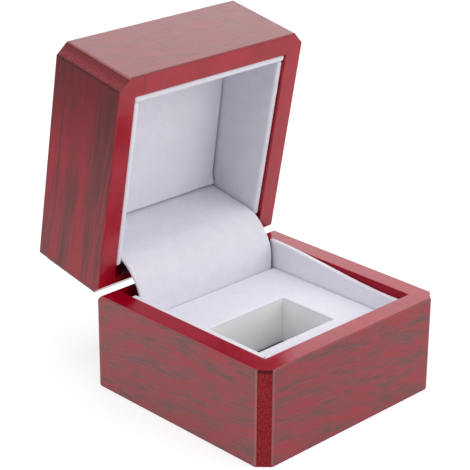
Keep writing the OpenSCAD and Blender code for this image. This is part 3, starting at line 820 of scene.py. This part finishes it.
def swollen(points, faces, held):
    """The points of a padded cover after a cloth simulation has swelled it, with some points held."""
    mesh = bpy.data.meshes.new("cover")
    mesh.from_pydata([tuple(p * CLOTH_SCALE) for p in points], [], faces)
    cover = bpy.data.objects.new("cover", mesh)
    bpy.context.scene.collection.objects.link(cover)
    cover.vertex_groups.new(name="held").add(held, 1.0, "REPLACE")
    settings = cover.modifiers.new("cloth", "CLOTH").settings
    settings.vertex_group_mass = "held"
    settings.use_pressure = True
    settings.uniform_pressure_force = CLOTH_PRESSURE
    settings.effector_weights.gravity = 0.0
    for frame_number in range(1, CLOTH_FRAMES + 1):
        bpy.context.scene.frame_set(frame_number)
    view = bpy.context.evaluated_depsgraph_get()
    moved = [v.co / CLOTH_SCALE for v in cover.evaluated_get(view).data.vertices]
    bpy.data.objects.remove(cover)
    bpy.context.scene.frame_set(1)
    most = max((b - a).length for a, b in zip(points, moved))
    share = min(1.0, SWELL_LIMIT / most)
    return [a.lerp(b, share) for a, b in zip(points, moved)]


def ceiling_wedge(point, low, high):
    """A point of the ceiling pad's block, moved onto the wedge with its falling shoulders."""
    deep = high.z - low.z
    rise = (point.y - low.y) / (high.y - low.y)
    share = (high.z - point.z) / deep
    thickness = CEILING_FRONT + (deep - CEILING_FRONT) * rise
    drop = SHOULDER_DROP * (1 - smooth_step(point.y, high.y - SHOULDER_END, high.y))
    thickness -= drop * smooth_step(abs(point.x), high.x - SHOULDER_REACH, high.x)
    return Vector((point.x, point.y, high.z - share * (thickness - SWELL_ROOM)))


def add_ceiling_pad():
    """The flocked foam wedge in the lid's ceiling, swelled by a cloth simulation."""
    low, high = shut_box("lid_ceiling_pad")
    points, faces = rounded_block(low, high, CEILING_EDGE, (CEILING_STEP,) * 3)
    surface = [ceiling_wedge(core + normal * CEILING_EDGE, low, high) for core, normal in points]
    held = [i for i, p in enumerate(surface) if p.z > high.z - HELD_DEPTH]
    surface = swollen(surface, faces, held)
    napped = []
    for point in surface:
        share = min(1.0, (high.z - point.z) / MM)
        rise = Vector((0, 0, nap(point, PAD_NAP, NAP_GRAIN) * share))
        napped.append(SWING @ (point - rise))
    pad = add_piece("ceiling_pad_flock", napped, faces, FLOCK_PAD, "lid",
                    ["lid_ceiling_pad"])
    return pad


# Radius of the ring pads' edges, their mesh's width, and the depth and grain of their unevenness
FOAM_EDGE = 1.2 * MM
FOAM_STEP = 0.7 * MM
FOAM_NAP = 0.12 * MM
FOAM_GRAIN = 0.4 * MM


def add_ring_pad(name, node):
    """One half of the slit foam pad that grips the ring."""
    low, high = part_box(node)
    points, faces = rounded_block(low, high, FOAM_EDGE, (FOAM_STEP,) * 3)
    surface = []
    for core, normal in points:
        surface.append(core + normal * (FOAM_EDGE + nap(core, FOAM_NAP, FOAM_GRAIN)))
    pad = add_piece(name, surface, faces, FOAM, "base", [node])
    return pad


# ---------------------------------------------------------------- strips that bend at the hinge

# Fewest steps round a bend
BEND_STEPS = 6


def rounded_path(corners, radius, step):
    """Points of a line in the YZ plane with its inner corners rounded.

    Points on a bend are about half a step apart."""
    path = [corners[0]]
    for before, corner, after in zip(corners, corners[1:], corners[2:]):
        u, v = (before - corner).normalized(), (after - corner).normalized()
        half = u.angle(v) / 2
        run = radius / math.tan(half)
        start, end = corner + u * run, corner + v * run
        centre = corner + (u + v).normalized() * radius / math.sin(half)
        turn = (start - centre).rotation_difference(end - centre)
        steps = max(BEND_STEPS, round(turn.angle * radius / step * 2))
        for k in range(steps + 1):
            part = turn.copy()
            part.angle = turn.angle * k / steps if turn.angle else 0.0
            path.append(centre + Matrix.Rotation(part.angle, 3, turn.axis) @ (start - centre))
    return path + [corners[-1]]


def path_lengths(path):
    """Length along the path up to each of its points."""
    lengths = [0.0]
    for a, b in zip(path, path[1:]):
        lengths.append(lengths[-1] + (b - a).length)
    return lengths


def on_path(path, lengths, distance):
    """Point of the path at a distance from its start, and its normal, to the right of the way."""
    def way(k):
        return (path[min(k + 1, len(path) - 1)] - path[max(k - 1, 0)]).normalized()

    i = 1
    while i < len(path) - 1 and lengths[i] < distance:
        i += 1
    a, b = path[i - 1], path[i]
    share = (distance - lengths[i - 1]) / (lengths[i] - lengths[i - 1])
    tangent = way(i - 1).lerp(way(i), min(1.0, max(0.0, share))).normalized()
    return a + (b - a) * share, Vector((0, tangent.z, -tangent.y))


def add_strip(name, node, path, shape, material):
    """A strip as wide as its CAD node, bent along a path and thickening along its normal.

    Returns the piece and its length."""
    lengths = path_lengths(path)
    low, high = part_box(node)
    start = Vector((low.x, 0, 0))
    end = Vector((high.x, lengths[-1], shape["thickness"]))
    points, faces = rounded_block(start, end, shape["edge"], shape["step"])
    surface = []
    for core, normal in points:
        flat = core + normal * (shape["edge"] + nap(core, shape["nap"], NAP_GRAIN))
        point, out = on_path(path, lengths, flat.y)
        surface.append(Vector((flat.x, point.y, point.z)) + out * flat.z)
    return add_piece(name, surface, faces, material, None, [node]), lengths[-1]


# Corners of the flap's face: its foot, the bends at the deck and at the lid, and its end, which
# is given for the shut lid. Then the radius of its bends, and the step of its path
FLAP_PLACES = ((21.2, 17.3), (21.2, 27.53), (27.42, 34.99))
FLAP_END = SWING @ (Vector((0, 21.2, 46.1)) * MM)
FLAP_CORNERS = [Vector((0, y, z)) * MM for y, z in FLAP_PLACES] + [FLAP_END]
FLAP_BEND = 11 * MM
FLAP_PATH_STEP = 0.8 * MM

# Thickness of each strip, the radius of its edges, the steps of its mesh and its nap's depth
FLAP = {
    "thickness": 1.0 * MM,
    "edge": 0.4 * MM,
    "step": (0.9 * MM, 0.8 * MM, 0.9 * MM),
    "nap": FLAP_NAP,
}
SPRING = {
    "thickness": 0.3 * MM,
    "edge": 0.1 * MM,
    "step": (0.8 * MM, 0.6 * MM, 0.1 * MM),
    "nap": 0.0,
}


def add_flap():
    """The flocked sheet stretched from behind the deck to behind the ceiling pad."""
    path = rounded_path(FLAP_CORNERS, FLAP_BEND, FLAP_PATH_STEP)
    flap, length = add_strip("flap_cloth", "hinge_flap", path, FLAP, FLAP_CLOTH)
    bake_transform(flap)


def arc_through(a, b, c, count):
    """Points of the arc from a through b to c, in the YZ plane."""
    twice_area = a.y * (b.z - c.z) + b.y * (c.z - a.z) + c.y * (a.z - b.z)
    aa, bb, cc = a.length_squared, b.length_squared, c.length_squared
    centre_y = aa * (b.z - c.z) + bb * (c.z - a.z) + cc * (a.z - b.z)
    centre_z = aa * (c.y - b.y) + bb * (a.y - c.y) + cc * (b.y - a.y)
    centre = Vector((0, centre_y, centre_z)) / (2 * twice_area)
    start = a - centre
    turn = math.atan2((c - centre).z, (c - centre).y) - math.atan2(start.z, start.y)
    turn = (turn + 2 * math.pi) % (2 * math.pi) - 2 * math.pi
    return [centre + Matrix.Rotation(turn * k / count, 3, "X") @ start for k in range(count + 1)]


# Foot, crown and tip of the bow springs, and the steps of their arc
SPRING_PLACES = ((26.4, 15.7), (26.073, 29.788), (39.989, 32.010))
SPRING_POINTS = [Vector((0, y, z)) * MM for y, z in SPRING_PLACES]
SPRING_STEPS = 40


def add_springs():
    """The two bow springs, bent over the barrel from leaf to leaf."""
    middle = arc_through(*SPRING_POINTS, SPRING_STEPS)
    lengths = path_lengths(middle)
    path = []
    for distance in lengths:
        point, out = on_path(middle, lengths, distance)
        path.append(point - out * SPRING["thickness"] / 2)
    for side in ("left", "right"):
        node = "hinge_spring_" + side
        spring, _ = add_strip("bow_spring_" + side, node, path, SPRING, SPRING_STEEL)
        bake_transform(spring)


# ---------------------------------------------------------------- studio

# Camera, fitted to the photograph's edges: the view's angles in degrees, its distance and aim,
# its lens and sensor in millimetres, and the depths in metres that it sees
CAMERA_AZIMUTH = -44.453
CAMERA_ELEVATION = 22.93
CAMERA_ROLL = 0.398
CAMERA_DISTANCE = 426.323 * MM
CAMERA_AIM = Vector((-6.992, 4.034, 44.293)) * MM
CAMERA_LENS = 126.63
CAMERA_SENSOR = 36
CAMERA_CLIP = (0.01, 50)


def add_camera():
    """The photograph's viewpoint."""
    azimuth = math.radians(CAMERA_AZIMUTH)
    elevation = math.radians(CAMERA_ELEVATION)
    roll = math.radians(CAMERA_ROLL)
    flat_back = Vector((math.sin(azimuth), -math.cos(azimuth), 0))
    back = flat_back * math.cos(elevation) + Vector((0, 0, math.sin(elevation)))
    right = (-back).cross(Vector((0, 0, 1))).normalized()
    up = back.cross(right)
    turned_right = right * math.cos(roll) + up * math.sin(roll)
    turned_up = up * math.cos(roll) - right * math.sin(roll)
    data = bpy.data.cameras.new("camera")
    data.lens = CAMERA_LENS
    data.sensor_width = CAMERA_SENSOR
    data.clip_start, data.clip_end = CAMERA_CLIP
    camera = bpy.data.objects.new("camera", data)
    axes = Matrix((turned_right, turned_up, back)).transposed().to_4x4()
    camera.matrix_world = Matrix.Translation(CAMERA_AIM + back * CAMERA_DISTANCE) @ axes
    bpy.context.scene.collection.objects.link(camera)
    bpy.context.scene.camera = camera


# Large soft lamps: over the box, from the front, the front right and the left, and one behind
# the right that glazes the rims. Each has its name, place, side and radiance
LAMPS = (
    ("top", (0, -0.15, 1.1), 1.0, 2.1),
    ("front", (0.1, -1.0, 0.45), 0.8, 1.5),
    ("front_right", (0.8, -0.7, 0.5), 0.8, 2.15),
    ("left", (-1.0, 0.1, 0.5), 0.8, 1.55),
    ("rim", (0.75, 0.7, 0.65), 0.9, 2.0),
)
LAMP_AIM = Vector((0, 0, 0.04))


def add_lamp(name, place, size, radiance):
    """A square area lamp of a given radiance, facing the box."""
    data = bpy.data.lights.new(name, "AREA")
    data.size = size
    data.energy = radiance * math.pi * size * size
    lamp = bpy.data.objects.new(name, data)
    lamp.location = place
    lamp.rotation_mode = "QUATERNION"
    lamp.rotation_quaternion = (LAMP_AIM - Vector(place)).to_track_quat("-Z", "Y")
    bpy.context.scene.collection.objects.link(lamp)


# Strength of the world's light on the box; to the camera and in reflections the world is white
AMBIENT = 0.26

# Half the floor's side, its shade to the camera and in reflections, its shade to bounced light,
# and the strength of the glow that makes it look white
FLOOR_HALF = 3.0
FLOOR_SEEN = 0.4
FLOOR_BOUNCE = 0.8
FLOOR_LIFT = 0.7

# Distances from the box's middle over which the glow fades in reflections, and the share of it
# that stays
GLOW_START, GLOW_END = 0.13, 0.27
GLOW_LEAST = 0.12


def seen_by_eye(nodes, links, path):
    """1 for rays from the camera and for reflected and refracted ones, else 0."""
    first = nodes.new("ShaderNodeMath")
    first.operation = "MAXIMUM"
    second = nodes.new("ShaderNodeMath")
    second.operation = "MAXIMUM"
    links.new(path.outputs["Is Camera Ray"], first.inputs[0])
    links.new(path.outputs["Is Glossy Ray"], first.inputs[1])
    links.new(first.outputs[0], second.inputs[0])
    links.new(path.outputs["Is Transmission Ray"], second.inputs[1])
    return second.outputs[0]


def add_world():
    """White to the camera and to reflections, and a soft ambient light for the rest."""
    world = bpy.data.worlds.new("studio")
    world.use_nodes = True
    bpy.context.scene.world = world
    nodes, links = world.node_tree.nodes, world.node_tree.links
    path = nodes.new("ShaderNodeLightPath")
    seen = seen_by_eye(nodes, links, path)
    strength = nodes.new("ShaderNodeMapRange")
    strength.inputs["To Min"].default_value = AMBIENT
    strength.inputs["To Max"].default_value = 1.0
    links.new(seen, strength.inputs["Value"])
    links.new(strength.outputs[0], nodes["Background"].inputs["Strength"])
    nodes["Background"].inputs["Color"].default_value = (1, 1, 1, 1)


def add_floor():
    """A pale floor that shows white, with the box's soft shadow left on it."""
    mesh = bpy.data.meshes.new("floor")
    signs = ((-1, -1), (1, -1), (1, 1), (-1, 1))
    corners = [(x * FLOOR_HALF, y * FLOOR_HALF, 0) for x, y in signs]
    mesh.from_pydata(corners, [], [(0, 1, 2, 3)])
    floor = bpy.data.objects.new("floor", mesh)
    bpy.context.scene.collection.objects.link(floor)
    shader = Shader("floor_white", Roughness=1.0, Specular_IOR_Level=0.0,
                    Emission_Color=(1, 1, 1, 1))
    path = shader.node("LightPath")
    seen = seen_by_eye(shader.tree.nodes, shader.tree.links, path)
    bounce = (FLOOR_BOUNCE,) * 3 + (1,)
    shown = (FLOOR_SEEN,) * 3 + (1,)
    shader.set("Base Color", shader.mix(seen, bounce, shown))
    place = shader.node("TexCoord").outputs["Object"]
    away = shader.node("VectorMath", place, operation="LENGTH").outputs["Value"]
    glow = shader.fit(away, GLOW_START, GLOW_END, 1.0, GLOW_LEAST)
    glow = shader.math("MAXIMUM", path.outputs["Is Camera Ray"], glow)
    strength = shader.math("MULTIPLY", glow, FLOOR_LIFT)
    shader.set("Emission Strength", shader.math("MULTIPLY", seen, strength))
    mesh.materials.append(shader.material)


add_camera()
dress_carcass()
dress_inside()
add_linings()
add_deck()
add_ceiling_pad()
add_ring_pad("ring_pad_foam_front", "ring_pad_front")
add_ring_pad("ring_pad_foam_back", "ring_pad_back")
add_flap()
add_springs()
add_floor()
add_world()
for lamp_values in LAMPS:
    add_lamp(*lamp_values)

bpy.context.scene.view_settings.view_transform = "Standard"
